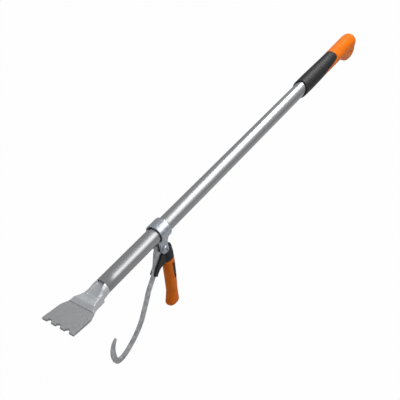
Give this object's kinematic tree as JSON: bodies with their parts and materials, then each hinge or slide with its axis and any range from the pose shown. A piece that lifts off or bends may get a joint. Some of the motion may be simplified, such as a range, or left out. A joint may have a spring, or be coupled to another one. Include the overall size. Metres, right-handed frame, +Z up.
{
  "type": "felling lever with turning hook",
  "caption": "Long tubular felling lever with a toothed stepped blade, a collar carrying a swinging turning hook with a pistol grip, and a soft top handle.",
  "frame": {"origin": "centre of the bounding box at rest", "axes": "+X along the shaft from the blade to the top handle, +Z up, away from the hook, +Y across the blade"},
  "size_m": [1.307, 0.087, 0.269],
  "materials": {
    "cast_steel": "matte, slightly granular",
    "satin_steel": "satin",
    "tube_metal": "satin, drawn tube",
    "zinc_steel": "zinc plated, satin",
    "hook_steel": "satin, slightly granular",
    "black_plastic": "matte",
    "orange_plastic": "satin",
    "soft_rubber": "matte, finely ribbed"
  },
  "bodies": {
    "lever": {"blade": "cast_steel", "blade_spring_pin": "satin_steel", "shaft_tube": "tube_metal", "collar": "zinc_steel", "collar_liner": "black_plastic", "collar_set_screw": "satin_steel", "pivot_bolt": "zinc_steel", "pivot_lock_nut": "zinc_steel", "pivot_nut_washer": "zinc_steel", "pivot_bush": "satin_steel", "pivot_spacer_near": "black_plastic", "pivot_spacer_far": "black_plastic", "handle_soft_grip": "soft_rubber", "handle_body": "orange_plastic", "handle_screw": "satin_steel"},
    "turning_hook": {"hook": "hook_steel", "grip_core": "black_plastic", "grip_sleeve": "orange_plastic", "grip_panel_near": "black_plastic", "grip_panel_far": "black_plastic"}
  },
  "joints": [
    {"name": "hook_swing", "type": "hinge", "parent": "lever", "child": "turning_hook", "pos_m": [-0.3325, 0, 0.06209], "axis": [0, 1, 0], "range_deg": [-60, 34]}
  ]
}
